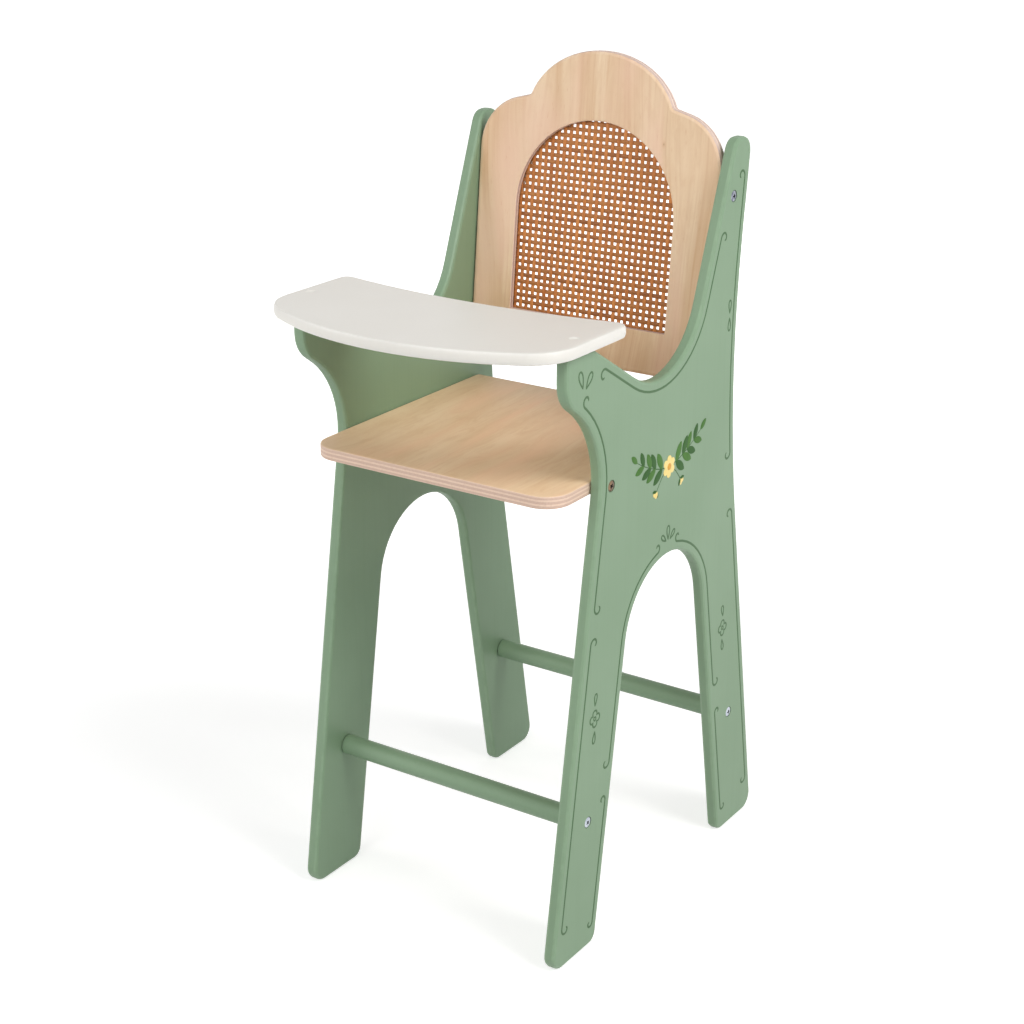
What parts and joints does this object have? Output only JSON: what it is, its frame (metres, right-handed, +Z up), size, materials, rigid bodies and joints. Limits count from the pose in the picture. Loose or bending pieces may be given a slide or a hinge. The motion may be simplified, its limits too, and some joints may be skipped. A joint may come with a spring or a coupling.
{
  "type": "doll high chair",
  "caption": "Doll high chair with shaped side boards, an arched cane backrest, a seat board, dowel stretchers between the legs and a bowed tray that lifts off its pegs.",
  "frame": {"origin": "on the floor, below the middle of the bounding box", "axes": "+Z up, -Y towards the front (the tray), +X towards the side that is on the right when the chair is seen from the front"},
  "size_m": [0.2332, 0.3402, 0.5983],
  "materials": {
    "green_paint": "satin paint on board",
    "cream_paint": "satin paint on board",
    "seat_plywood": "clear matt lacquer, plies in view at the edge",
    "backrest_wood": "clear matt lacquer",
    "woven_cane": "woven cane, matt",
    "beech": "bare wood",
    "zinc": "bright zinc plate",
    "bronzed_steel": "dark bronze plate"
  },
  "bodies": {
    "chair": {"left_side_panel": "green_paint", "right_side_panel": "green_paint", "front_stretcher": "green_paint", "rear_stretcher": "green_paint", "seat_board": "seat_plywood", "backrest_panel": "backrest_wood", "cane_webbing": "woven_cane", "cane_retaining_frame": "backrest_wood", "front_stretcher_screw_left": "zinc", "rear_stretcher_screw_left": "zinc", "seat_screw_left": "bronzed_steel", "backrest_screw_left": "bronzed_steel", "seat_dowel_left": "beech", "backrest_dowel_left": "beech", "front_stretcher_screw_right": "zinc", "rear_stretcher_screw_right": "zinc", "seat_screw_right": "bronzed_steel", "backrest_screw_right": "bronzed_steel", "seat_dowel_right": "beech", "backrest_dowel_right": "beech", "cane_frame_brad_1": "zinc", "cane_frame_brad_2": "zinc", "cane_frame_brad_3": "zinc", "cane_frame_brad_4": "zinc", "cane_frame_brad_5": "zinc", "cane_frame_brad_6": "zinc", "cane_frame_brad_7": "zinc", "cane_frame_brad_8": "zinc", "cane_frame_brad_9": "zinc", "cane_frame_brad_10": "zinc"},
    "tray": {"tray": "cream_paint", "tray_peg_left": "beech", "tray_peg_right": "beech"}
  },
  "joints": [
    {"name": "tray_lift", "type": "slide", "parent": "chair", "child": "tray", "axis": [0, 0, 1], "range_m": [0, 0.016]}
  ]
}
